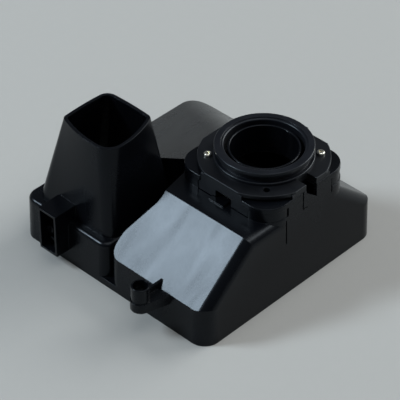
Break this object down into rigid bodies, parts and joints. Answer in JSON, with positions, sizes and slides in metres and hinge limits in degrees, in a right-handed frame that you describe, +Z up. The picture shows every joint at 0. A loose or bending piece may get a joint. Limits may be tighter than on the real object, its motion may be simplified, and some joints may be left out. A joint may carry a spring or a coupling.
{
  "type": "duct housing",
  "caption": "Moulded duct housing: tapered rectangular duct beside a hipped hood whose raised neck carries a round spigot and a rubber lip seal, with a screw lug and a bracket.",
  "frame": {"origin": "on the plane of the base rim, under the middle of the whole part's outline", "axes": "+X to the right along the front wall that carries the bracket and the lug, +Y from that wall to the back, +Z up from the open rim to the duct mouth"},
  "size_m": [0.19, 0.2074, 0.108],
  "materials": {
    "housing": "satin, faint flow marks",
    "cap": "satin",
    "seal": "matt",
    "screw": "bright nickel plate"
  },
  "bodies": {
    "root": {"duct_housing": "housing", "seal_cap": "cap", "lip_seal": "seal", "front_screw": "screw", "rear_screw": "screw"}
  },
  "joints": []
}
